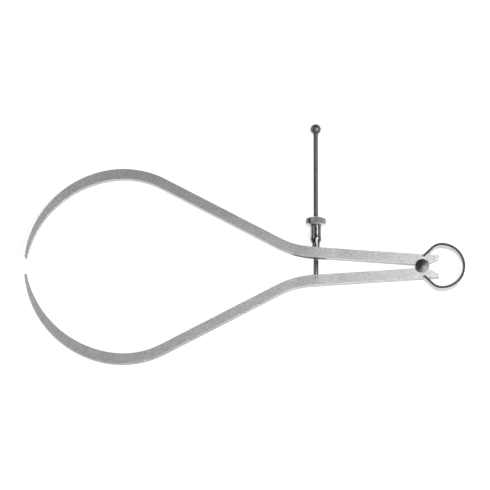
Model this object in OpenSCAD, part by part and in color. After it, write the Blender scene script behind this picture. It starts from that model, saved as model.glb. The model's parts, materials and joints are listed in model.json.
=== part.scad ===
// Outside spring caliper with a quick-adjusting split nut.
// Origin at the fulcrum axis on the middle plane of the legs, tips towards -X, screw along +Y, +Z up.

/* [Legs] */
// Thickness of the legs
leg_t = 5; // [4.8:0.1:8]
// Width of the legs between the fulcrum and the screw
leg_w = 6.6; // [6:0.1:8]
// Width of the legs where the bow begins
bow_w = 6.2; // [4:0.1:8]
// Width of the legs where the bow turns towards the tip
tip_bow_w = 6.5; // [3:0.1:8]
// Width of the tips
tip_w = 1.8; // [1:0.1:4]
// Distance of each leg's centre line from the fulcrum
leg_off = 4.4; // [4:0.1:5]
// Angle between each leg's straight shank and the centre line of the caliper
shank_angle = 3.9; // [3:0.1:5]
// Length of the straight shank, from the fulcrum to the bend
shank_l = 69; // [62:0.5:90]
// Angle of the bend after the screw
bend_angle = 24; // [15:0.1:30]
// Radius of the bend
bend_r = 53; // [20:1:90]
// Length of the straight arm between the bend and the bow
arm_l = 81.8; // [40:0.1:110]
// Radius of the bow next to the arm
bow_r = 53.8; // [40:0.1:80]
// Angle that the bow turns at that radius
bow_angle = 40; // [30:0.5:50]
// Radius of the bow next to the tip
tip_bow_r = 64; // [50:0.5:90]
// Angle that the bow turns next to the tip
tip_bow_angle = 68.6; // [30:0.1:69]
// How late the bow narrows towards the tip, 1 being an even taper
tip_taper = 1.65; // [1:0.05:2.5]
// Length of the ends behind the fulcrum
beak_l = 10.5; // [6:0.1:14]
// Angle of the ends' inner faces from the centre line
beak_angle = 24.5; // [24:0.5:35]
// Rise of the swelling around the screw above each face
boss_rise = 0.15; // [0.1:0.05:1]
// Length of that swelling
boss_l = 26; // [16:1:40]
// Radius of the round cut that opens the upper leg's slot on its inner side
slot_cut_r = 50; // [30:1:80]
// Distance of that cut from the centre of the ball seat
slot_cut_y = 5.4; // [4.8:0.1:6.4]
// Angle by which the cut leans from the screw towards the tips
slot_cut_angle = 11.2; // [8:0.1:14]

/* [Fulcrum stud] */
// Diameter of the groove that the legs turn on
stud_groove_d = 6.4; // [4:0.1:7]
// Diameter of the flanges
stud_flange_d = 8.8; // [8:0.1:11]
// Thickness of a flange at its rim
stud_flange_t = 0.7; // [0.4:0.1:2]
// Rise of the coned end faces
stud_cone_h = 0.5; // [0.2:0.1:1.5]

/* [Bow spring] */
// Width of the spring strip
spring_w = 8; // [5:0.1:12]
// Thickness of the spring strip
spring_t = 1.5; // [0.8:0.1:2]
// Outside radius of the loop
spring_r = 14.7; // [13.5:0.1:17]
// Distance of the loop's centre from the fulcrum
spring_x = 12.2; // [11.5:0.1:14]
// Half of the angle that the loop's large arc covers
spring_half_angle = 90; // [86:1:95]
// Middle radius of the tighter turns at both shoulders
spring_shoulder_r = 8.5; // [6.5:0.1:10]
// Angle of those turns
spring_shoulder_angle = 44; // [40:0.1:48]
// Length of the straight ends
spring_end_l = 7.4; // [6.9:0.1:7.9]

/* [Adjusting screw] */
// Distance of the screw from the fulcrum
screw_x = 66.6; // [60:0.1:75]
// Distance of the screw's pivot in the lower leg from the centre line
pivot_y = 8; // [7.6:0.1:9]
// Distance of the nut's ball seat in the upper leg from the centre line
seat_y = 12.9; // [12.5:0.1:13.4]
// Diameter over the thread
thread_d = 3.1; // [2.4:0.1:3.2]
// Diameter of the plain shank
shank_d = 3.3; // [2.6:0.1:3.4]
// Length of the plain shank above its pivot
shank_h = 11.6; // [8:0.1:12]
// Distance from the pivot to the centre of the end ball
screw_l = 97.7; // [70:0.1:130]
// Diameter of the end ball
ball_d = 6.6; // [4:0.1:9]
// Diameter of the spigot that holds the ball
spigot_d = 2; // [1.4:0.1:2.2]
// Length of the spigot inside the ball
spigot_l = 4; // [2:0.1:5]
// Radius of the eye at the screw's lower end
eye_r = 2; // [1.8:0.1:2.2]
// Thickness of the eye
eye_t = 2.8; // [2:0.1:3]
// Diameter of the pivot pin
pin_d = 1.5; // [1:0.1:2]

/* [Nut] */
// Diameter of the knurled head
head_d = 12.7; // [10:0.1:16]
// Height of the knurled head
head_h = 4.5; // [3:0.1:8]
// Chamfer of the head's rims
head_chamfer = 0.9; // [0.3:0.1:1.2]
// Distance from the ball seat's centre to the underside of the head
head_y = 13.9; // [13:0.1:18]
// Width of the slit between the half nuts
slit_w = 0.9; // [0.4:0.1:1.4]
// Turn of the slit about the screw
slit_angle = 39; // [0:1:180]
// Large diameter of the half nuts' tapered tail
tail_d = 5.2; // [4.9:0.1:5.4]
// Small diameter of the tail
tail_end_d = 4.6; // [4.4:0.1:4.8]
// Length of the tail
tail_l = 7.4; // [4:0.1:7.5]
// Outside diameter of the sleeve
sleeve_d = 6.6; // [6.4:0.1:8]
// Diameter of the sleeve's flare
flare_d = 7.3; // [6.8:0.1:9]
// Height of the flare above the ball seat's centre
flare_y = 4.8; // [4:0.1:5.5]
// Length over which the flare opens out
flare_l = 2.6; // [1:0.1:4]
// Diameter of the sleeve's nose
nose_d = 4.8; // [4.4:0.1:4.9]
// Height at which the nose meets the cone above it
nose_y = 2.2; // [1.5:0.1:3]
// Wire diameter of the spring that spreads the half nuts
nut_spring_d = 0.5; // [0.3:0.05:0.7]
// Ring diameter of that spring, to the middle of its wire
nut_spring_ring_d = 5; // [4.8:0.1:6]
// Angle that the open ring covers
nut_spring_angle = 300; // [200:5:330]

/* [Travel] */
// Angle between the legs that opens them from the pose shown
open_angle = 46; // [0:1:46]
// Angle that closes them from the pose shown
close_angle = 2.3; // [0:0.1:2.4]
// Share of the opening that the screw turns by
screw_share = 0.538; // [0.536:0.001:0.54]

/* [Clearances] */
// Running clearance of turned fits, on the radius
run_gap = 0.06; // [0.02:0.01:0.1]
// Clearance of pressed fits, on the radius
press_gap = 0.01; // [0.01:0.01:0.03]
// Clearance of slots around what swings in them
slot_gap = 0.12; // [0.05:0.01:0.3]
// Clearance of the nut around the screw, on the radius
thread_gap = 0.36; // [0.32:0.01:0.5]

/* [Hidden] */
$fn = 64;
arc_step = 2.5;
over = 1;
leg_colour = [0.70, 0.70, 0.69];
dark_colour = [0.30, 0.30, 0.31];
spring_colour = [0.42, 0.42, 0.43];

seat_share = 1 - screw_share;
stud_groove_r = stud_groove_d / 2;
stud_half_h = leg_t / 2 + run_gap + stud_flange_t + stud_cone_h;
spring_mid_r = spring_r - spring_t / 2;
slot_half_z = shank_d / 2 + slot_gap;
slot_reach = 2 * leg_w;
boss_t = leg_t + 2 * boss_rise;
boss_arc_r = (boss_l * boss_l / 4 + boss_rise * boss_rise) / (2 * boss_rise);
bore_r = thread_d / 2 + thread_gap;
head_top = head_y + head_h;
tail_bottom = head_y - tail_l;
sleeve_top = head_y - run_gap;
spigot_y = screw_l - sqrt(ball_d * ball_d - spigot_d * spigot_d) / 2;

// Centre line of a leg: each station is [x, y, heading, width]
function along(st, d, w) = [st[0] + d * cos(st[2]), st[1] + d * sin(st[2]), st[2], w];
function around(st, r, a, w) =
    let (side = sign(a), cx = st[0] - side * r * sin(st[2]), cy = st[1] + side * r * cos(st[2]), h = st[2] + a)
    [cx + side * r * sin(h), cy - side * r * cos(h), h, w];
function mix(a, b, t) = a + (b - a) * t;
function arc_stations(st, r, a, w_end, taper = 1) =
    let (n = ceil(abs(a) / arc_step))
    [for (i = [1:n]) around(st, r, a * i / n, mix(st[3], w_end, pow(i / n, taper)))];
function last(list) = list[len(list) - 1];
function mirrored(st) = [st[0], -st[1], 180 - st[2], st[3]];
function edge(st, side) =
    [st[0] + side * st[3] / 2 * sin(st[2]), st[1] - side * st[3] / 2 * cos(st[2])];

leg_start = [0, leg_off, 180 - shank_angle, leg_w];
beak_station = along(leg_start, -beak_l, leg_w);
bend_start = along(leg_start, shank_l, leg_w);
bend_stations = arc_stations(bend_start, bend_r, -bend_angle, bow_w);
bow_start = along(last(bend_stations), arm_l, bow_w);
bow_stations = arc_stations(bow_start, bow_r, bow_angle, tip_bow_w);
tip_stations = arc_stations(last(bow_stations), tip_bow_r, tip_bow_angle, tip_w, tip_taper);
leg_stations = concat([beak_station, bend_start], bend_stations, [bow_start], bow_stations, tip_stations);
tip_end = last(leg_stations);
upper_pivot = [-screw_x, seat_y];
lower_pivot = [-screw_x, -pivot_y];

// Half of the spring, from the back of the loop to its end in the upper leg
spring_start = [spring_x + spring_mid_r, 0, 90, spring_t];
spring_arc = arc_stations(spring_start, spring_mid_r, spring_half_angle, spring_t);
spring_shoulder = arc_stations(last(spring_arc), spring_shoulder_r, spring_shoulder_angle, spring_t);
spring_end = along(last(spring_shoulder), spring_end_l, spring_t);
spring_half = concat([spring_start], spring_arc, spring_shoulder, [spring_end]);
spring_stations = concat([for (i = [len(spring_half) - 1:-1:1]) mirrored(spring_half[i])], spring_half);

// Strip that follows a list of stations
module strip(stations) {
    polygon(concat([for (st = stations) edge(st, 1)],
                   [for (i = [len(stations) - 1:-1:0]) edge(stations[i], -1)]));
}

// Space that a rod of radius r sweeps on the +Y side of its pivot, turning from -back to fore degrees
module swing_slot(r, back, fore) {
    polygon([
        [r / cos(back), 0],
        [r / cos(back) + slot_reach * tan(back), slot_reach],
        [-r / cos(fore) - slot_reach * tan(fore), slot_reach],
        [-r / cos(fore), 0]
    ]);
}

module leg_outline() {
    groove_w = spring_t + 2 * slot_gap;
    difference() {
        union() {
            strip(leg_stations);
            translate([tip_end[0], tip_end[1]]) circle(d = tip_w);
        }
        polygon([[0, 0], [2 * beak_l, 2 * beak_l * tan(beak_angle)], [2 * beak_l, -leg_w], [0, -leg_w]]);
        circle(r = stud_groove_r + run_gap);
        translate([spring_end[0], spring_end[1]]) rotate(spring_end[2])
            translate([-spring_end_l, -groove_w / 2]) square([spring_end_l + slot_gap, groove_w]);
    }
}

// Large cylinder across the leg that crowns one face of the swelling
module boss_crown(side) {
    translate([0, 0, side * (boss_t / 2 - boss_arc_r)]) rotate([90, 0, 0])
        cylinder(r = boss_arc_r, h = 8 * leg_w, center = true, $fn = 180);
}

// One leg, lying as the upper one, without the openings for the screw
module leg_blank() {
    linear_extrude(leg_t, center = true) leg_outline();
    intersection() {
        linear_extrude(boss_t, center = true) leg_outline();
        translate([-screw_x, pivot_y]) rotate(-shank_angle) boss_crown(1);
        translate([-screw_x, pivot_y]) rotate(-shank_angle) boss_crown(-1);
    }
}

module upper_leg() {
    color(leg_colour) difference() {
        leg_blank();
        translate(upper_pivot) {
            sphere(d = nose_d + 2 * run_gap);
            linear_extrude(2 * slot_half_z, center = true)
                rotate(180) swing_slot(bore_r, close_angle * seat_share, open_angle * seat_share);
            rotate(-slot_cut_angle) translate([0, -slot_cut_r - slot_cut_y])
                cylinder(r = slot_cut_r, h = 2 * slot_half_z, center = true, $fn = 180);
        }
    }
}

module lower_leg() {
    color(leg_colour) difference() {
        mirror([0, 1, 0]) leg_blank();
        translate(lower_pivot) {
            linear_extrude(2 * slot_half_z, center = true) {
                mirror([1, 0, 0]) swing_slot(slot_half_z, close_angle * screw_share, open_angle * screw_share);
                circle(r = eye_r + slot_gap);
            }
            cylinder(d = pin_d + 2 * press_gap, h = boss_t + over, center = true);
        }
    }
}

module fulcrum_stud() {
    groove_top = leg_t / 2 + run_gap;
    rim_top = groove_top + stud_flange_t;
    flange_r = stud_flange_d / 2;
    color(dark_colour) rotate_extrude() polygon([
        [0, -stud_half_h], [flange_r, -rim_top], [flange_r, -groove_top], [stud_groove_r, -groove_top],
        [stud_groove_r, groove_top], [flange_r, groove_top], [flange_r, rim_top], [0, stud_half_h]
    ]);
}

module bow_spring() {
    color(spring_colour) linear_extrude(spring_w, center = true) strip(spring_stations);
}

// Turns a profile drawn as [radius, height] about the screw, with its heights counted along +Y
module on_screw(pivot) {
    translate(pivot) rotate([-90, 0, 0]) rotate_extrude() children();
}

// Half of a round outline, on the +X side of the axis that it is turned about
module half_circle(d) {
    intersection() {
        circle(d = d);
        translate([0, -d]) square([d, 2 * d]);
    }
}

module adjusting_screw() {
    shank_r = shank_d / 2;
    thread_r = thread_d / 2;
    shoulder = shank_r - thread_r;
    color(dark_colour) difference() {
        union() {
            on_screw(lower_pivot) polygon([
                [0, 0], [shank_r, 0], [shank_r, shank_h - shoulder], [thread_r, shank_h], [thread_r, spigot_y],
                [spigot_d / 2, spigot_y], [spigot_d / 2, spigot_y + spigot_l], [0, spigot_y + spigot_l]
            ]);
            translate(lower_pivot) cylinder(r = eye_r, h = eye_t, center = true);
        }
        translate(lower_pivot) cylinder(d = pin_d + 2 * run_gap, h = shank_d + over, center = true);
    }
}

module end_ball() {
    color(dark_colour) on_screw(lower_pivot) difference() {
        translate([0, screw_l]) half_circle(ball_d);
        square([spigot_d / 2 + press_gap, spigot_y + spigot_l + press_gap]);
        square([ball_d, spigot_y]);
    }
}

module screw_pin() {
    color(dark_colour) translate(lower_pivot) cylinder(d = pin_d, h = boss_t, center = true);
}

module whole_nut() {
    head_r = head_d / 2;
    on_screw(upper_pivot) difference() {
        polygon([
            [bore_r, tail_bottom], [tail_end_d / 2, tail_bottom], [tail_d / 2, head_y],
            [head_r - head_chamfer, head_y], [head_r, head_y + head_chamfer],
            [head_r, head_top - head_chamfer], [head_r - head_chamfer, head_top], [bore_r, head_top]
        ]);
        translate([nut_spring_ring_d / 2, head_y + head_h / 2]) circle(d = nut_spring_d + 2 * run_gap);
    }
}

// Half of the nut on one side of the slit
module half_nut(side) {
    color(dark_colour) intersection() {
        whole_nut();
        translate(upper_pivot) rotate([0, -slit_angle, 0])
            translate([side > 0 ? slit_w / 2 : -slit_w / 2 - head_d, 0, -head_d])
                cube([head_d, 2 * head_top, 2 * head_d]);
    }
}

module front_half_nut() {
    half_nut(1);
}

module rear_half_nut() {
    half_nut(-1);
}

module nut_spring() {
    color(spring_colour) translate([-screw_x, seat_y + head_y + head_h / 2]) rotate([-90, 0, 0])
        rotate(slit_angle - nut_spring_angle / 2) rotate_extrude(angle = nut_spring_angle)
            translate([nut_spring_ring_d / 2, 0]) circle(d = nut_spring_d);
}

module nut_sleeve() {
    sleeve_r = sleeve_d / 2;
    tail_seat_r = tail_d / 2 + run_gap;
    tail_end_r = tail_end_d / 2 + run_gap;
    tail_floor = tail_bottom - run_gap;
    color(dark_colour) on_screw(upper_pivot) difference() {
        union() {
            polygon([
                [0, 0], [nose_d / 2, 0], [nose_d / 2, nose_y], [flare_d / 2, flare_y],
                [sleeve_r, flare_y + flare_l], [sleeve_r, sleeve_top], [0, sleeve_top]
            ]);
            half_circle(nose_d);
        }
        polygon([
            [0, -nose_d], [bore_r, -nose_d], [bore_r, tail_floor], [tail_end_r, tail_floor],
            [tail_seat_r, sleeve_top], [tail_seat_r, sleeve_top + over], [0, sleeve_top + over]
        ]);
    }
}

upper_leg();
lower_leg();
fulcrum_stud();
bow_spring();
adjusting_screw();
end_ball();
screw_pin();
front_half_nut();
rear_half_nut();
nut_spring();
nut_sleeve();
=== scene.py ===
import json
import math

import bmesh
import bpy
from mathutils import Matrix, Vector


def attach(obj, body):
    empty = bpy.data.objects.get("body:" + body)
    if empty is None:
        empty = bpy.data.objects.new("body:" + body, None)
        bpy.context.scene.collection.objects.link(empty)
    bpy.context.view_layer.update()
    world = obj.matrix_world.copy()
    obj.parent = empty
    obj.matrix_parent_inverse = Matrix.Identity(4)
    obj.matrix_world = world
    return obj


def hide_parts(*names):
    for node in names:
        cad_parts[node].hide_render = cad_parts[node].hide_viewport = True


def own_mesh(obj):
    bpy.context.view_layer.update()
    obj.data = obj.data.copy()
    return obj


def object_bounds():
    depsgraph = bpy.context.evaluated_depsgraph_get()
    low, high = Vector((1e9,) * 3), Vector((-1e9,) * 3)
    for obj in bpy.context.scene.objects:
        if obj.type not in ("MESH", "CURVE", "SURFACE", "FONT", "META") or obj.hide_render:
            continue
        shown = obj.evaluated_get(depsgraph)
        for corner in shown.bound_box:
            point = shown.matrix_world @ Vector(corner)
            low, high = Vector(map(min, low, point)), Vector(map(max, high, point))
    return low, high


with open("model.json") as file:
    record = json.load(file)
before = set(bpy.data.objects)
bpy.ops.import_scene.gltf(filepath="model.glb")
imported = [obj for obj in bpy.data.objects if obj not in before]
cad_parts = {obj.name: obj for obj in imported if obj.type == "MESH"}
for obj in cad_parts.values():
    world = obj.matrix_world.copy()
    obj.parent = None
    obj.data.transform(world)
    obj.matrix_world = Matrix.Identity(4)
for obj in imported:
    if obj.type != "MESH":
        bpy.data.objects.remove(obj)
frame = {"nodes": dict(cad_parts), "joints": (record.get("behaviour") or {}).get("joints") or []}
cadLow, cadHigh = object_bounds()
mm = 0.001
joints = {joint["name"]: joint for joint in frame["joints"]}
screwPivot = Vector(joints["screw_swing"]["pos_m"])
ballSeat = Vector(joints["sleeve_swing"]["pos_m"])
print("frame loaded,", len(frame["nodes"]), "nodes")


# node helpers
def startMaterial(name):
    material = bpy.data.materials.new(name)
    material.use_nodes = True
    tree = material.node_tree
    return material, tree, tree.nodes["Principled BSDF"]


def linkTo(tree, output, target):
    tree.links.new(output, target)


def objectPoints(tree, stretch=(1, 1, 1)):
    coords = tree.nodes.new("ShaderNodeTexCoord")
    mapping = tree.nodes.new("ShaderNodeMapping")
    mapping.inputs["Scale"].default_value = stretch
    linkTo(tree, coords.outputs["Object"], mapping.inputs["Vector"])
    return mapping.outputs["Vector"]


def noiseField(tree, grain, detail=3.0, stretch=(1, 1, 1)):
    # grain is the size of a speck in mm
    noise = tree.nodes.new("ShaderNodeTexNoise")
    noise.inputs["Scale"].default_value = 1 / (grain * mm)
    noise.inputs["Detail"].default_value = detail
    linkTo(tree, objectPoints(tree, stretch), noise.inputs["Vector"])
    return noise.outputs["Fac"]


def rampOf(tree, field, places, tones):
    # each tone is a grey value or a colour
    ramp = tree.nodes.new("ShaderNodeValToRGB")
    elements = ramp.color_ramp.elements
    while len(elements) < len(places):
        elements.new(0.5)
    for element, place, tone in zip(elements, places, tones):
        element.position = place
        element.color = (tone, tone, tone, 1) if isinstance(tone, float) else (*tone, 1)
    linkTo(tree, field, ramp.inputs["Fac"])
    return ramp.outputs["Color"]


def multiplied(tree, first, second):
    mix = tree.nodes.new("ShaderNodeMix")
    mix.data_type = "RGBA"
    mix.blend_type = "MULTIPLY"
    mix.inputs["Factor"].default_value = 1.0
    linkTo(tree, first, mix.inputs["A"])
    linkTo(tree, second, mix.inputs["B"])
    return mix.outputs["Result"]


def bumpFrom(tree, field, depth, strength, under=None):
    bump = tree.nodes.new("ShaderNodeBump")
    bump.inputs["Strength"].default_value = strength
    bump.inputs["Distance"].default_value = depth * mm
    linkTo(tree, field, bump.inputs["Height"])
    if under is not None:
        linkTo(tree, under, bump.inputs["Normal"])
    return bump.outputs["Normal"]


def paintedShadeAlong(tree, look):
    # painted shade: darker towards the tips, between two places along X in mm
    split = tree.nodes.new("ShaderNodeSeparateXYZ")
    linkTo(tree, objectPoints(tree), split.inputs["Vector"])
    share = tree.nodes.new("ShaderNodeMapRange")
    share.inputs["From Min"].default_value = look["fadeFrom"] * mm
    share.inputs["From Max"].default_value = look["fadeTo"] * mm
    linkTo(tree, split.outputs["X"], share.inputs["Value"])
    return rampOf(tree, share.outputs["Result"], (0.0, 1.0), (look["paintedShadeTone"], 1.0))


# where the noise of every steel finish turns from one tone or roughness to the next
steelSpec = {
    "speckDetail": 4.0, "patchDetail": 2.0, "scratchDetail": 2.0,
    "toneAt": (0.30, 0.52, 0.72), "stainAt": (0.25, 0.60), "roughAt": (0.30, 0.70), "clean": (1.0, 1.0, 1.0),
}


def steelFinish(name, look):
    spec = steelSpec
    material, tree, shader = startMaterial(name)
    shader.inputs["Metallic"].default_value = 1.0
    specks = noiseField(tree, look["grain"], spec["speckDetail"])
    patches = noiseField(tree, look["patch"], spec["patchDetail"])
    scratches = noiseField(tree, look["scratch"], spec["scratchDetail"], look["scratchStretch"])
    tone = rampOf(tree, specks, spec["toneAt"], (look["dark"], look["middle"], look["light"]))
    # painted shade towards the tips, for the finishes that have it
    if "paintedShadeTone" in look:
        tone = multiplied(tree, tone, paintedShadeAlong(tree, look))
    stain = rampOf(tree, patches, spec["stainAt"], (look["stain"], spec["clean"]))
    linkTo(tree, multiplied(tree, tone, stain), shader.inputs["Base Color"])
    roughness = rampOf(tree, scratches, spec["roughAt"], (look["smooth"], look["rough"]))
    linkTo(tree, roughness, shader.inputs["Roughness"])
    grinding = bumpFrom(tree, scratches, look["scratchDepth"], look["bump"])
    linkTo(tree, bumpFrom(tree, specks, look["pitDepth"], look["bump"], grinding), shader.inputs["Normal"])
    return material


legLook = {
    "grain": 1.3, "patch": 9.0, "scratch": 0.22, "scratchStretch": (1.0, 0.16, 0.5),
    "dark": (0.68, 0.68, 0.67), "middle": (0.85, 0.85, 0.84), "light": (0.94, 0.94, 0.93),
    "stain": (0.93, 0.93, 0.925), "smooth": 0.30, "rough": 0.42,
    "scratchDepth": 0.010, "pitDepth": 0.018, "bump": 0.35,
}
# sides of the legs: the same ground steel, given a darker colour as painted shade of the shadowed floor that
# they mirror
legSideShadeLook = {
    "grain": 0.8, "patch": 7.0, "scratch": 0.25, "scratchStretch": (1.0, 1.0, 0.12),
    "dark": (0.40, 0.40, 0.395), "middle": (0.50, 0.50, 0.495), "light": (0.58, 0.58, 0.575),
    "stain": (0.90, 0.90, 0.895), "smooth": 0.34, "rough": 0.46,
    "scratchDepth": 0.010, "pitDepth": 0.012, "bump": 0.3,
}
# outer sides: painted shade as on the inner sides, and more painted shade towards the tips
legOuterShadeLook = {**legSideShadeLook, "fadeFrom": -130.0, "fadeTo": -85.0, "paintedShadeTone": 0.66}
# inside the slots: a darker colour as painted shade of the recess
slotShadeLook = {
    "grain": 0.8, "patch": 5.0, "scratch": 0.25, "scratchStretch": (0.2, 1.0, 1.0),
    "dark": (0.30, 0.30, 0.30), "middle": (0.40, 0.40, 0.40), "light": (0.50, 0.50, 0.50),
    "stain": (0.85, 0.85, 0.85), "smooth": 0.40, "rough": 0.54,
    "scratchDepth": 0.006, "pitDepth": 0.010, "bump": 0.3,
}
springFaceLook = {
    "grain": 0.8, "patch": 5.0, "scratch": 0.25, "scratchStretch": (1.0, 1.0, 0.12),
    "dark": (0.46, 0.46, 0.46), "middle": (0.56, 0.56, 0.56), "light": (0.64, 0.64, 0.63),
    "stain": (0.88, 0.88, 0.88), "smooth": 0.26, "rough": 0.42,
    "scratchDepth": 0.008, "pitDepth": 0.012, "bump": 0.3,
}
# rims of the bow spring: the same steel as its faces, darkened as painted shade
springRimShadeLook = {
    "grain": 0.7, "patch": 3.2, "scratch": 0.2, "scratchStretch": (1.0, 1.0, 0.4),
    "dark": (0.05, 0.05, 0.052), "middle": (0.095, 0.095, 0.097), "light": (0.19, 0.19, 0.19),
    "stain": (0.72, 0.72, 0.72), "smooth": 0.34, "rough": 0.52,
    "scratchDepth": 0.012, "pitDepth": 0.025, "bump": 0.5,
}
screwLook = {
    "grain": 0.6, "patch": 4.0, "scratch": 0.2, "scratchStretch": (0.3, 1.0, 0.3),
    "dark": (0.13, 0.13, 0.135), "middle": (0.18, 0.18, 0.185), "light": (0.24, 0.24, 0.24),
    "stain": (0.85, 0.85, 0.85), "smooth": 0.34, "rough": 0.48,
    "scratchDepth": 0.003, "pitDepth": 0.005, "bump": 0.2,
}
ballLook = {
    "grain": 0.6, "patch": 3.0, "scratch": 0.2, "scratchStretch": (0.3, 1.0, 0.3),
    "dark": (0.14, 0.14, 0.145), "middle": (0.20, 0.20, 0.205), "light": (0.26, 0.26, 0.26),
    "stain": (0.85, 0.85, 0.85), "smooth": 0.40, "rough": 0.54,
    "scratchDepth": 0.003, "pitDepth": 0.005, "bump": 0.2,
}
knurlLook = {
    "grain": 0.5, "patch": 3.0, "scratch": 0.2, "scratchStretch": (1.0, 0.3, 1.0),
    "dark": (0.67, 0.67, 0.67), "middle": (0.81, 0.81, 0.805), "light": (0.93, 0.93, 0.92),
    "stain": (0.88, 0.88, 0.88), "smooth": 0.36, "rough": 0.50,
    "scratchDepth": 0.004, "pitDepth": 0.006, "bump": 0.25,
}
# bottoms of the knurl's grooves: darkened as painted shade
grooveShadeLook = {
    "grain": 0.5, "patch": 3.0, "scratch": 0.2, "scratchStretch": (1.0, 0.3, 1.0),
    "dark": (0.10, 0.10, 0.10), "middle": (0.16, 0.16, 0.16), "light": (0.24, 0.24, 0.24),
    "stain": (0.80, 0.80, 0.80), "smooth": 0.40, "rough": 0.54,
    "scratchDepth": 0.004, "pitDepth": 0.006, "bump": 0.25,
}
sleeveLook = {
    "grain": 0.7, "patch": 4.0, "scratch": 0.12, "scratchStretch": (0.2, 1.0, 0.2),
    "dark": (0.19, 0.19, 0.195), "middle": (0.24, 0.24, 0.245), "light": (0.28, 0.28, 0.28),
    "stain": (0.92, 0.92, 0.92), "smooth": 0.20, "rough": 0.28,
    "scratchDepth": 0.001, "pitDepth": 0.001, "bump": 0.08,
}
legSteel = steelFinish("satinLegSteel", legLook)
legSideShadedSteel = steelFinish("groundSideSteelPaintedShade", legSideShadeLook)
legOuterShadedSteel = steelFinish("groundOuterSteelPaintedShade", legOuterShadeLook)
slotShadedSteel = steelFinish("milledSlotSteelPaintedShade", slotShadeLook)
springFaceSteel = steelFinish("springFaceSteel", springFaceLook)
springRimShadedSteel = steelFinish("springRimShadedSteel", springRimShadeLook)
screwSteel = steelFinish("darkScrewSteel", screwLook)
ballSteel = steelFinish("darkBallSteel", ballLook)
knurlSteel = steelFinish("knurledSteel", knurlLook)
grooveShadedSteel = steelFinish("knurlGrooveSteelPaintedShade", grooveShadeLook)
sleeveSteel = steelFinish("polishedSleeveSteel", sleeveLook)


def turnedFinish(name, look):
    # turning marks in rings about the stud's axis
    material, tree, shader = startMaterial(name)
    shader.inputs["Metallic"].default_value = 1.0
    split = tree.nodes.new("ShaderNodeSeparateXYZ")
    linkTo(tree, objectPoints(tree), split.inputs["Vector"])
    flat = tree.nodes.new("ShaderNodeCombineXYZ")
    linkTo(tree, split.outputs["X"], flat.inputs["X"])
    linkTo(tree, split.outputs["Y"], flat.inputs["Y"])
    rings = tree.nodes.new("ShaderNodeTexWave")
    rings.wave_type = "RINGS"
    rings.rings_direction = "SPHERICAL"
    rings.inputs["Scale"].default_value = 1 / (look["ringSize"] * mm)
    rings.inputs["Distortion"].default_value = look["ringWander"]
    linkTo(tree, flat.outputs["Vector"], rings.inputs["Vector"])
    specks = noiseField(tree, look["grain"])
    tone = rampOf(tree, specks, look["toneAt"], (look["dark"], look["light"]))
    linkTo(tree, tone, shader.inputs["Base Color"])
    roughness = rampOf(tree, specks, look["roughAt"], (look["smooth"], look["rough"]))
    linkTo(tree, roughness, shader.inputs["Roughness"])
    marks = bumpFrom(tree, rings.outputs["Fac"], look["ringDepth"], look["bump"])
    linkTo(tree, marks, shader.inputs["Normal"])
    return material


studLook = {
    "ringSize": 1.32, "ringWander": 0.6, "ringDepth": 0.004, "bump": 0.35, "grain": 0.8,
    "toneAt": (0.32, 0.68), "roughAt": (0.30, 0.70),
    "dark": (0.115, 0.115, 0.118), "light": (0.165, 0.165, 0.165), "smooth": 0.27, "rough": 0.37,
}
studSteel = turnedFinish("turnedStudSteel", studLook)
print("materials made")


# mesh helpers, with lengths in mm
meshSpec = {
    "weld": 0.0005, "cadWeld": 0.001, "flatDegrees": 0.4, "levelFrom": 0.97, "uprightTo": 0.05,
    "flatWithin": 0.01, "sharpDegrees": 32, "cornerReach": 0.45,
}


def smoothMesh(name, points, faces, sharpDegrees):
    mesh = bpy.data.meshes.new(name)
    mesh.from_pydata(points, [], faces)
    work = bmesh.new()
    work.from_mesh(mesh)
    bmesh.ops.remove_doubles(work, verts=work.verts, dist=meshSpec["weld"] * mm)
    bmesh.ops.recalc_face_normals(work, faces=work.faces)
    limit = math.radians(sharpDegrees)
    for face in work.faces:
        face.smooth = True
    for edge in work.edges:
        edge.smooth = edge.is_manifold and edge.calc_face_angle(0) < limit
    work.to_mesh(mesh)
    work.free()
    return mesh


def placePiece(name, mesh, body, materials, nodes):
    piece = bpy.data.objects.new(name, mesh)
    bpy.context.scene.collection.objects.link(piece)
    for material in materials:
        mesh.materials.append(material)
    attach(piece, body)
    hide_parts(*nodes)
    return piece


def roundedProfile(corners, steps=4):
    # each corner is (radius, height, rounding), all in mm
    path = []
    count = len(corners)
    reach = meshSpec["cornerReach"]
    for i, (r, h, soft) in enumerate(corners):
        if soft <= 0:
            path.append((r, h))
            continue
        here = Vector((r, h))
        before = Vector(corners[i - 1][:2])
        after = Vector(corners[(i + 1) % count][:2])
        reachIn = min(soft, (before - here).length * reach)
        reachOut = min(soft, (after - here).length * reach)
        start = here + (before - here).normalized() * reachIn
        end = here + (after - here).normalized() * reachOut
        for k in range(steps + 1):
            t = k / steps
            point = start * (1 - t) ** 2 + here * 2 * t * (1 - t) + end * t ** 2
            path.append((point.x, point.y))
    return path


def turnedMesh(name, profile, place, segments, closed, sharpDegrees=40):
    # turns an outline of (radius, height) in mm about an axis
    points = []
    faces = []
    rows = len(profile)
    for r, h in profile:
        for j in range(segments):
            points.append(place(max(r, 0) * mm, h * mm, 2 * math.pi * j / segments))
    for i in range(rows if closed else rows - 1):
        low = i * segments
        high = (i + 1) % rows * segments
        for j in range(segments):
            after = (j + 1) % segments
            faces.append((low + j, low + after, high + after, high + j))
    return smoothMesh(name, points, faces, sharpDegrees)


def aboutScrew(pivot):
    def place(r, h, angle):
        return (pivot.x + r * math.sin(angle), pivot.y + h, pivot.z + r * math.cos(angle))
    return place


def aboutFulcrum(r, h, angle):
    return (r * math.cos(angle), r * math.sin(angle), h)


def aboutPin(r, h, angle):
    return (screwPivot.x + r * math.cos(angle), screwPivot.y + r * math.sin(angle), h)


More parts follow.
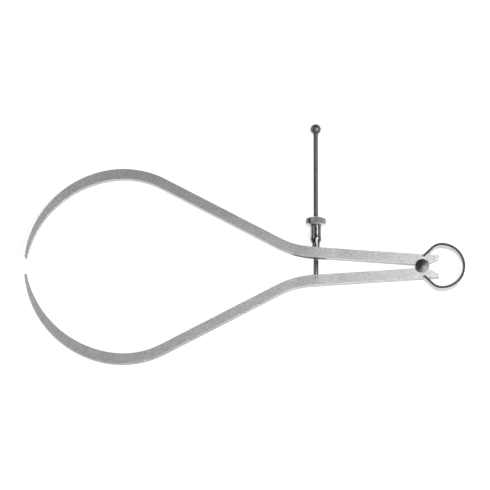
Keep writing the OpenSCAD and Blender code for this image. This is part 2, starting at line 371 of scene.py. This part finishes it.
# legs: the solids with softened edges
legSpec = {
    "edge": 0.07, "edgeSteps": 2, "edgeRound": 0.6, "halfThickness": 2.5, "rimFrom": 2.3, "pinKeep": 1.4,
    "beakCorner": 0.35, "beakSteps": 4, "beakRound": 0.5, "beakFrom": 6.0, "beakDegrees": 30,
    "levelFrom": 0.9, "slotHalf": 1.8, "middleX": -150.0,
}


def workCopy(node):
    work = bmesh.new()
    work.from_mesh(frame["nodes"][node].data)
    bmesh.ops.remove_doubles(work, verts=work.verts, dist=meshSpec["cadWeld"] * mm)
    bmesh.ops.dissolve_limit(
        work, angle_limit=math.radians(meshSpec["flatDegrees"]), verts=work.verts, edges=work.edges,
        use_dissolve_boundaries=False)
    bmesh.ops.recalc_face_normals(work, faces=work.faces)
    work.normal_update()
    return work


def isLevel(face):
    return abs(face.normal.z) > meshSpec["levelFrom"]


def isUpright(face):
    return abs(face.normal.z) < meshSpec["uprightTo"]


def rimEdges(work, lowest, keepClear):
    # edges between a level face and an upright one, away from the screw's pin
    chosen = []
    for edge in work.edges:
        if len(edge.link_faces) != 2:
            continue
        first, second = edge.link_faces
        crossing = (isLevel(first) and isUpright(second)) or (isLevel(second) and isUpright(first))
        high = all(abs(vert.co.z) > lowest * mm for vert in edge.verts)
        clear = all((vert.co.xy - screwPivot.xy).length > keepClear * mm for vert in edge.verts)
        if crossing and high and clear:
            chosen.append(edge)
    return chosen


def beakCorners(work, spec):
    # upright corners of the legs' ends behind the fulcrum
    chosen = []
    limit = math.radians(spec["beakDegrees"])
    for edge in work.edges:
        if len(edge.link_faces) != 2 or not edge.is_manifold:
            continue
        upright = all(isUpright(face) for face in edge.link_faces)
        behind = all(vert.co.x > spec["beakFrom"] * mm for vert in edge.verts)
        if upright and behind and edge.calc_face_angle(0) > limit:
            chosen.append(edge)
    return chosen


def softenEdges(work, edges, offset, steps, profile):
    bmesh.ops.bevel(
        work, geom=edges, offset=offset * mm, segments=steps, profile=profile, affect="EDGES",
        clamp_overlap=False)
    work.normal_update()


def finishSolid(work, name, flatAt):
    within = meshSpec["flatWithin"] * mm
    for face in work.faces:
        face.smooth = not all(abs(abs(vert.co.z) - flatAt * mm) < within for vert in face.verts)
    limit = math.radians(meshSpec["sharpDegrees"])
    for edge in work.edges:
        level = [isLevel(face) for face in edge.link_faces]
        edge.smooth = edge.is_manifold and edge.calc_face_angle(0) < limit and all(level) == any(level)
    mesh = bpy.data.meshes.new(name)
    work.to_mesh(mesh)
    work.free()
    return mesh


def legFinish(face, spec):
    # 0 for the level faces, 1 and 2 for the inner and outer sides, which carry painted shade, 3 inside the
    # slots, also with painted shade
    if all(abs(vert.co.z) < spec["slotHalf"] * mm for vert in face.verts):
        return 3
    if abs(face.normal.z) > spec["levelFrom"]:
        return 0
    outward = face.calc_center_median().xy - Vector((spec["middleX"] * mm, 0))
    return 2 if face.normal.xy.dot(outward) > 0 else 1


def makeLeg(node, name, spec):
    work = workCopy(node)
    corners = beakCorners(work, spec)
    softenEdges(work, corners, spec["beakCorner"], spec["beakSteps"], spec["beakRound"])
    rims = rimEdges(work, spec["rimFrom"], spec["pinKeep"])
    softenEdges(work, rims, spec["edge"], spec["edgeSteps"], spec["edgeRound"])
    for face in work.faces:
        face.material_index = legFinish(face, spec)
    mesh = finishSolid(work, name, spec["halfThickness"])
    finishes = [legSteel, legSideShadedSteel, legOuterShadedSteel, slotShadedSteel]
    return placePiece(name, mesh, node, finishes, [node])


upperLeg = makeLeg("upper_leg", "upperLegSteel", legSpec)
lowerLeg = makeLeg("lower_leg", "lowerLegSteel", legSpec)
print("legs made,", len(upperLeg.data.polygons) + len(lowerLeg.data.polygons), "faces")


# bow spring: strip with softened edges, and its rims darkened as painted shade
springSpec = {
    "edge": 0.2, "edgeSteps": 3, "edgeRound": 0.6, "halfWidth": 4.0, "rimFrom": 3.8, "pinKeep": 0.0,
    "rimFacing": 0.35, "pinch": 0.93,
}


def makeSpring(spec):
    work = workCopy("bow_spring")
    rims = rimEdges(work, spec["rimFrom"], spec["pinKeep"])
    softenEdges(work, rims, spec["edge"], spec["edgeSteps"], spec["edgeRound"])
    # faces turned up or down, the rims, get the painted shade
    for face in work.faces:
        face.material_index = 1 if abs(face.normal.z) > spec["rimFacing"] else 0
    mesh = finishSolid(work, "bowSpringStrip", spec["halfWidth"])
    piece = placePiece(
        "bowSpringStrip", mesh, "bow", [springFaceSteel, springRimShadedSteel], ["bow_spring"])
    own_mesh(piece)
    return piece


bowSpring = makeSpring(springSpec)
print("bow spring made,", len(bowSpring.data.polygons), "faces")


# fulcrum stud, turned about the fulcrum
studSpec = {
    "grooveR": 3.2, "flangeR": 4.4, "grooveHalf": 2.56, "rim": 0.7, "cone": 0.5, "edge": 0.16,
    "tipR": 0.25, "tipDrop": 0.02, "tipEdge": 0.15, "segments": 128, "sharpDegrees": 34,
}


def makeStud(spec):
    top = spec["grooveHalf"] + spec["rim"]
    tip = top + spec["cone"] - spec["tipDrop"]
    soft = spec["edge"]
    upper = [
        (spec["grooveR"], spec["grooveHalf"], 0.0), (spec["flangeR"], spec["grooveHalf"], soft),
        (spec["flangeR"], top, soft), (spec["tipR"], tip, spec["tipEdge"]), (0.0, tip, 0.0),
    ]
    lower = [(r, -h, edge) for r, h, edge in reversed(upper)]
    profile = roundedProfile(lower + upper)
    mesh = turnedMesh("fulcrumStud", profile, aboutFulcrum, spec["segments"], False, spec["sharpDegrees"])
    placePiece("fulcrumStud", mesh, "stud", [studSteel], ["fulcrum_stud"])


makeStud(studSpec)
print("fulcrum stud made")


# adjusting screw with its thread, eye and ball
screwSpec = {
    "threadR": 1.55, "threadDepth": 0.18, "pitch": 0.64, "flank": 1.25, "runOut": 1.2, "threadTop": 94.56,
    "rowsPerPitch": 6, "segments": 28, "sharpDegrees": 50,
    "shankR": 1.65, "shankTop": 11.6, "shankBottom": 1.2, "shoulder": 0.25, "polishTo": 11.5,
    "spigotR": 1.0, "spigotTop": 98.56,
    "eyeR": 2.0, "eyeHoleR": 0.81, "eyeHalf": 1.4, "eyeEdge": 0.3, "eyeHoleEdge": 0.08, "eyeSegments": 64,
    "ballR": 3.3, "ballAt": 97.7, "ballRows": 40, "ballSegments": 80, "ballSharpDegrees": 60,
}


def threadCut(spec, h, angle):
    # depth of the thread's groove at a height and angle
    fade = min(1.0, (h - spec["shankTop"]) / spec["runOut"], (spec["threadTop"] - h) / spec["runOut"])
    turn = (h / spec["pitch"] - angle / (2 * math.pi)) % 1.0
    return max(0.0, fade) * spec["threadDepth"] * min(1.0, spec["flank"] * abs(2 * turn - 1))


def makeScrew(spec):
    segments = spec["segments"]
    rows = [(0.0, spec["shankBottom"]), (spec["shankR"], spec["shankBottom"])]
    rows += [(spec["shankR"], spec["shankTop"] - spec["shoulder"]), (spec["threadR"], spec["shankTop"])]
    step = spec["pitch"] / spec["rowsPerPitch"]
    count = int((spec["threadTop"] - spec["shankTop"]) / step)
    rows += [(spec["threadR"], spec["shankTop"] + step * k) for k in range(1, count)]
    rows += [(spec["threadR"], spec["threadTop"]), (spec["spigotR"], spec["threadTop"])]
    rows += [(spec["spigotR"], spec["spigotTop"]), (0.0, spec["spigotTop"])]
    place = aboutScrew(screwPivot)
    points = []
    faces = []
    for r, h in rows:
        for j in range(segments):
            angle = 2 * math.pi * j / segments
            cut = threadCut(spec, h, angle) if r == spec["threadR"] else 0.0
            points.append(place((r - cut) * mm, h * mm, angle))
    for i in range(len(rows) - 1):
        for j in range(segments):
            after = (j + 1) % segments
            low, high = i * segments, (i + 1) * segments
            faces.append((low + j, low + after, high + after, high + j))
    mesh = smoothMesh("adjustingScrew", points, faces, spec["sharpDegrees"])
    for polygon in mesh.polygons:
        plain = (polygon.center.y - screwPivot.y) / mm < spec["polishTo"]
        polygon.material_index = 1 if plain else 0
    finishes = [screwSteel, sleeveSteel]
    return placePiece("adjustingScrew", mesh, "screw", finishes, ["adjusting_screw"])


def makeEye(spec):
    half = spec["eyeHalf"]
    outline = [
        (spec["eyeHoleR"], -half, spec["eyeHoleEdge"]), (spec["eyeR"], -half, spec["eyeEdge"]),
        (spec["eyeR"], half, spec["eyeEdge"]), (spec["eyeHoleR"], half, spec["eyeHoleEdge"]),
    ]
    mesh = turnedMesh("screwEye", roundedProfile(outline), aboutPin, spec["eyeSegments"], True)
    placePiece("screwEye", mesh, "screw", [screwSteel], [])


def makeBall(spec):
    neck = math.asin(spec["spigotR"] / spec["ballR"])
    outline = [(spec["spigotR"], spec["ballAt"])]
    rows = spec["ballRows"]
    for k in range(rows + 1):
        turn = -math.pi / 2 + neck + (math.pi - neck) * k / rows
        outline.append((spec["ballR"] * math.cos(turn), spec["ballAt"] + spec["ballR"] * math.sin(turn)))
    mesh = turnedMesh(
        "screwBall", outline, aboutScrew(screwPivot), spec["ballSegments"], False, spec["ballSharpDegrees"])
    placePiece("screwBall", mesh, "screw", [ballSteel], ["end_ball"])


adjustingScrew = makeScrew(screwSpec)
makeEye(screwSpec)
makeBall(screwSpec)
print("adjusting screw made,", len(adjustingScrew.data.polygons), "faces")

# pin of the screw's eye, with slightly domed ends
pinSpec = {
    "radius": 0.75, "half": 2.67, "dome": 0.12, "endR": 0.525, "edge": 0.05, "endEdge": 0.1, "segments": 48,
}


def makePin(spec):
    side = spec["half"] - spec["dome"]
    upper = [
        (spec["radius"], side, spec["edge"]), (spec["endR"], spec["half"], spec["endEdge"]),
        (0.0, spec["half"], 0.0),
    ]
    lower = [(r, -h, soft) for r, h, soft in reversed(upper)]
    mesh = turnedMesh("screwPin", roundedProfile(lower + upper), aboutPin, spec["segments"], False)
    placePiece("screwPin", mesh, "lower_leg", [springFaceSteel], ["screw_pin"])


makePin(pinSpec)
print("screw pin made")

# split nut with a knurled head, and the sleeve that it seats in
nutSpec = {
    "boreR": 1.91, "headR": 6.35, "headLow": 13.9, "headHigh": 18.4, "chamfer": 0.8, "straight": 0.62,
    "tailR": 2.6, "tailEndR": 2.3, "tailLow": 6.5, "slit": 0.9, "slitTurn": 39.0,
    "knurlPitch": 1.5, "knurlDepth": 0.36, "knurlSlope": 1.6, "knurlFade": 0.8, "knurlMargin": 0.05,
    "knurlRows": 30, "segments": 300, "sharpDegrees": 24,
    "grooveFrom": 0.4, "grooveTo": 2.0, "rimFacing": 0.8, "innerFrom": 0.7,
}


def knurlCut(spec, h, angle):
    # diamond knurl, as two crossing sets of grooves
    around = angle * spec["headR"] / spec["knurlPitch"]
    up = (h - spec["headLow"]) / spec["knurlPitch"]
    first = abs(((around + up) % 1.0) * 2 - 1)
    second = abs(((around - up) % 1.0) * 2 - 1)
    fade = min(1.0, (h - spec["headLow"]) / spec["knurlFade"], (spec["headHigh"] - h) / spec["knurlFade"])
    groove = max(0.0, spec["knurlSlope"] * max(first, second) - spec["knurlSlope"] + 1)
    return spec["knurlDepth"] * fade * groove


def barrelRadius(spec, h):
    # outline of the head, straight in the middle and rounded towards its rims
    fall = abs(2 * (h - spec["headLow"]) / (spec["headHigh"] - spec["headLow"]) - 1)
    return spec["headR"] - spec["chamfer"] * max(0.0, (fall - spec["straight"]) / (1 - spec["straight"])) ** 2


def finishNut(mesh, spec, across):
    # painted shade: second finish at the bottom of the knurl's grooves, and the dark screw steel, the third,
    # in the slit and the bore
    for polygon in mesh.polygons:
        offset = polygon.center - ballSeat
        h = offset.y / mm
        if polygon.normal.xz.dot(across) < -spec["innerFrom"]:
            polygon.material_index = 2
        elif spec["headLow"] < h < spec["headHigh"] and abs(polygon.normal.y) < spec["rimFacing"]:
            cut = (barrelRadius(spec, h) - math.hypot(offset.x, offset.z) / mm) / spec["knurlDepth"]
            polygon.material_index = 1 if spec["grooveFrom"] < cut < spec["grooveTo"] else 0


def makeHalfNut(spec, side, name, node):
    low = spec["headLow"]
    high = spec["headHigh"]
    neck = spec["headR"] - spec["chamfer"]
    margin = spec["knurlMargin"]
    profile = [(spec["boreR"], spec["tailLow"]), (spec["tailEndR"], spec["tailLow"]), (spec["tailR"], low)]
    for k in range(spec["knurlRows"] + 1):
        h = low + (high - low) * k / spec["knurlRows"]
        profile.append((barrelRadius(spec, h), h))
    profile.append((spec["boreR"], high))
    turn = math.radians(spec["slitTurn"])
    across = Vector((math.cos(turn), math.sin(turn))) * side
    along = Vector((-math.sin(turn), math.cos(turn)))
    segments = spec["segments"] // 2
    points = []
    for r, h in profile:
        widest = math.acos(spec["slit"] / 2 / r)
        for j in range(segments + 1):
            angle = widest * (2 * j / segments - 1)
            knurled = low + margin < h < high - margin and r > neck
            reach = r - (knurlCut(spec, h, angle) if knurled else 0.0)
            flat = across * (reach * math.cos(angle)) + along * (reach * math.sin(angle))
            points.append((ballSeat.x + flat.x * mm, ballSeat.y + h * mm, flat.y * mm))
    faces = []
    rows = len(profile)
    width = segments + 1
    for i in range(rows):
        here, there = i * width, (i + 1) % rows * width
        for j in range(segments):
            faces.append((here + j, here + j + 1, there + j + 1, there + j))
    faces.append([i * width for i in range(rows)])
    faces.append([i * width + segments for i in reversed(range(rows))])
    mesh = smoothMesh(name, points, faces, spec["sharpDegrees"])
    finishNut(mesh, spec, across)
    return placePiece(name, mesh, "nut", [knurlSteel, grooveShadedSteel, screwSteel], [node])


frontHalf = makeHalfNut(nutSpec, 1, "frontHalfNut", "front_half_nut")
makeHalfNut(nutSpec, -1, "rearHalfNut", "rear_half_nut")
nutSpring = frame["nodes"]["nut_spring"].data
nutSpring.materials.clear()
nutSpring.materials.append(springFaceSteel)
print("split nut made,", len(frontHalf.data.polygons) * 2, "faces")

sleeveSpec = {
    "boreR": 1.91, "noseR": 2.4, "noseTop": 2.2, "flareR": 3.65, "flareAt": 4.8, "bodyR": 3.3,
    "bodyFrom": 7.4, "top": 13.84, "seatR": 2.66, "seatEndR": 2.36, "seatFloor": 6.44,
    "noseSoft": 0.5, "flareSoft": 0.7, "bodySoft": 1.2, "edge": 0.2, "seatEdge": 0.1,
    "noseRows": 8, "cornerRows": 6, "segments": 96,
}


def makeSleeve(spec):
    outline = []
    opening = math.acos(spec["boreR"] / spec["noseR"])
    for k in range(spec["noseRows"] + 1):
        turn = -opening * (1 - k / spec["noseRows"])
        outline.append((spec["noseR"] * math.cos(turn), spec["noseR"] * math.sin(turn), 0.0))
    outline += [
        (spec["noseR"], spec["noseTop"], spec["noseSoft"]),
        (spec["flareR"], spec["flareAt"], spec["flareSoft"]),
        (spec["bodyR"], spec["bodyFrom"], spec["bodySoft"]), (spec["bodyR"], spec["top"], spec["edge"]),
        (spec["seatR"], spec["top"], spec["seatEdge"]), (spec["seatEndR"], spec["seatFloor"], 0.0),
        (spec["boreR"], spec["seatFloor"], 0.0),
    ]
    profile = roundedProfile(outline, spec["cornerRows"])
    mesh = turnedMesh("nutSleeve", profile, aboutScrew(ballSeat), spec["segments"], True)
    placePiece("nutSleeve", mesh, "sleeve", [sleeveSteel], ["nut_sleeve"])


makeSleeve(sleeveSpec)
print("sleeve made")

# floor, which shows white and keeps a soft shadow, in metres
floorSpec = {"size": 6.0, "drop": 0.0003, "tone": 0.45, "shown": 0.80}


def makeFloor(spec):
    half = spec["size"] / 2
    level = cadLow.z - spec["drop"]
    mesh = bpy.data.meshes.new("floor")
    corners = [(-half, -half, level), (half, -half, level), (half, half, level), (-half, half, level)]
    mesh.from_pydata(corners, [], [(0, 1, 2, 3)])
    floor = bpy.data.objects.new("floor", mesh)
    bpy.context.scene.collection.objects.link(floor)
    material = bpy.data.materials.new("paleFloor")
    material.use_nodes = True
    tree = material.node_tree
    tree.nodes.clear()
    rays = tree.nodes.new("ShaderNodeLightPath")
    seen = rays.outputs["Is Camera Ray"]
    for ray in ("Is Glossy Ray", "Is Transmission Ray"):
        either = tree.nodes.new("ShaderNodeMath")
        either.operation = "MAXIMUM"
        linkTo(tree, seen, either.inputs[0])
        linkTo(tree, rays.outputs[ray], either.inputs[1])
        seen = either.outputs["Value"]
    share = tree.nodes.new("ShaderNodeMath")
    share.operation = "MULTIPLY"
    share.inputs[1].default_value = spec["shown"]
    linkTo(tree, seen, share.inputs[0])
    white = tree.nodes.new("ShaderNodeEmission")
    linkTo(tree, share.outputs["Value"], white.inputs["Strength"])
    matte = tree.nodes.new("ShaderNodeBsdfDiffuse")
    matte.inputs["Color"].default_value = (spec["tone"], spec["tone"], spec["tone"], 1)
    both = tree.nodes.new("ShaderNodeAddShader")
    linkTo(tree, matte.outputs["BSDF"], both.inputs[0])
    linkTo(tree, white.outputs["Emission"], both.inputs[1])
    output = tree.nodes.new("ShaderNodeOutputMaterial")
    linkTo(tree, both.outputs["Shader"], output.inputs["Surface"])
    mesh.materials.append(material)


makeFloor(floorSpec)

# studio light, in metres: a large soft box above and to the right, a weaker one nearer the tips,
# and a dim sky
keySpec = {"at": (0.47, -0.14, 0.80), "tilt": 0.0, "turn": -35.0, "size": (0.80, 1.15), "power": 12.6}
fillSpec = {"at": (-0.505, 0.245, 0.35), "tilt": 0.0, "turn": 0.0, "size": (0.36, 0.50), "power": 0.75}
skySpec = {"horizon": 0.05, "zenith": 0.10, "low": 0.15, "high": 0.95}


def makeBox(name, spec):
    lamp = bpy.data.lights.new(name, "AREA")
    lamp.shape = "RECTANGLE"
    lamp.size, lamp.size_y = spec["size"]
    lamp.energy = spec["power"]
    box = bpy.data.objects.new(name, lamp)
    bpy.context.scene.collection.objects.link(box)
    box.location = spec["at"]
    box.rotation_euler = (math.radians(spec["tilt"]), 0, math.radians(spec["turn"]))


def makeSky(spec):
    world = bpy.data.worlds.new("studioSky")
    bpy.context.scene.world = world
    world.use_nodes = True
    tree = world.node_tree
    coords = tree.nodes.new("ShaderNodeTexCoord")
    split = tree.nodes.new("ShaderNodeSeparateXYZ")
    linkTo(tree, coords.outputs["Generated"], split.inputs["Vector"])
    sky = rampOf(tree, split.outputs["Z"], (spec["low"], spec["high"]), (spec["horizon"], spec["zenith"]))
    linkTo(tree, sky, tree.nodes["Background"].inputs["Color"])


makeBox("keyBox", keySpec)
makeBox("fillBox", fillSpec)
makeSky(skySpec)
print("floor and lights made")

# camera of the photograph: nearly overhead, leaning back towards -Y
cameraSpec = {
    "aim": (-111.15, 14.1, 0.0), "tilt": 14.6, "turn": 0.1, "distance": 3000.0, "lens": 351.0, "sensor": 36.0,
    "clipStart": 0.01, "clipEnd": 20.0,
}


def makeCamera(spec):
    data = bpy.data.cameras.new("camera")
    data.sensor_width = spec["sensor"]
    data.lens = spec["lens"]
    camera = bpy.data.objects.new("camera", data)
    bpy.context.scene.collection.objects.link(camera)
    tilt = math.radians(spec["tilt"])
    turn = math.radians(spec["turn"])
    back = Vector((math.sin(turn) * math.sin(tilt), -math.cos(turn) * math.sin(tilt), math.cos(tilt)))
    camera.location = Vector(spec["aim"]) * mm + back * spec["distance"] * mm
    camera.rotation_euler = (tilt, 0, turn)
    data.clip_start = spec["clipStart"]
    data.clip_end = spec["clipEnd"]
    bpy.context.scene.camera = camera


makeCamera(cameraSpec)
bpy.context.scene.view_settings.view_transform = "Standard"
